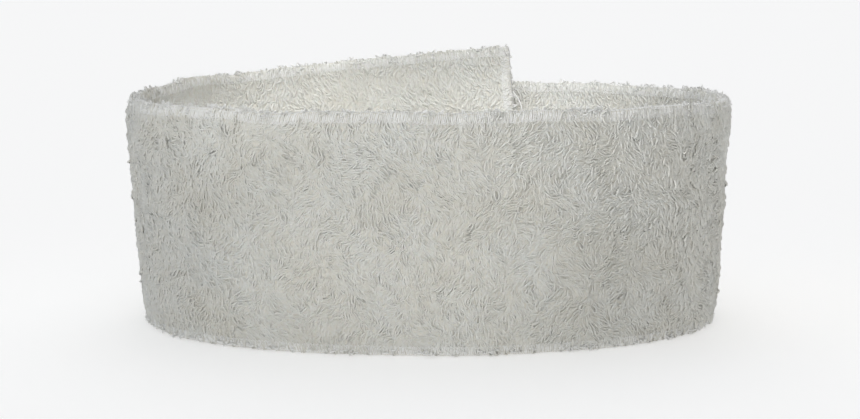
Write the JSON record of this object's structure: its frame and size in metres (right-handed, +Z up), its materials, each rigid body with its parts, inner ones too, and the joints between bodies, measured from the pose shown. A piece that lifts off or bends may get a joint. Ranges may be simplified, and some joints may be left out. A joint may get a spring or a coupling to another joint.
{
  "type": "terry headband",
  "caption": "Wide looped-pile sports headband with overlocked edges, standing on edge as an oval ring that closes at the back with hook-and-loop tape.",
  "frame": {"origin": "on the ground, under the middle of the standing ring's box", "axes": "+X along the wide way of the oval, +Y from the front wall to the lapped closure, +Z up from the lower edge to the upper edge"},
  "size_m": [0.2054, 0.1573, 0.0895],
  "materials": {
    "terry_cloth": "ivory cotton towelling with an uncut loop pile on both faces",
    "overlock_thread": "ivory spun overlock thread, satin",
    "loop_tape": "brushed off-white loop tape",
    "hook_tape": "woven off-white tape with moulded hooks",
    "tape_stitching": "ivory sewing thread, satin"
  },
  "bodies": {
    "band_front": {"strip_front": "terry_cloth", "top_overlock_front": "overlock_thread", "bottom_overlock_front": "overlock_thread"},
    "left_arm": {"strip_left": "terry_cloth", "top_overlock_left": "overlock_thread", "bottom_overlock_left": "overlock_thread", "end_overlock_inner": "overlock_thread", "loop_tape": "loop_tape", "loop_tape_stitching": "tape_stitching"},
    "right_arm": {"strip_right": "terry_cloth", "top_overlock_right": "overlock_thread", "bottom_overlock_right": "overlock_thread"},
    "closure_tab": {"strip_tab": "terry_cloth", "top_overlock_tab": "overlock_thread", "bottom_overlock_tab": "overlock_thread", "end_overlock_outer": "overlock_thread", "hook_tape": "hook_tape", "hook_tape_stitching": "tape_stitching"}
  },
  "joints": [
    {"name": "right_arm_open", "type": "hinge", "parent": "band_front", "child": "right_arm", "pos_m": [0.1037, 0, 0.038], "axis": [0, 0, -1], "range_deg": [0, 60]},
    {"name": "left_arm_open", "type": "hinge", "parent": "band_front", "child": "left_arm", "pos_m": [-0.1037, 0, 0.038], "axis": [0, 0, 1], "range_deg": [0, 30]},
    {"name": "tab_peel", "type": "hinge", "parent": "right_arm", "child": "closure_tab", "pos_m": [0.0481, 0.0726, 0.038], "axis": [0, 0, -1], "range_deg": [0, 120]}
  ],
  "couplings": [
    {"joint": "left_arm_open", "follows": "right_arm_open", "ratio": 0.5}
  ]
}
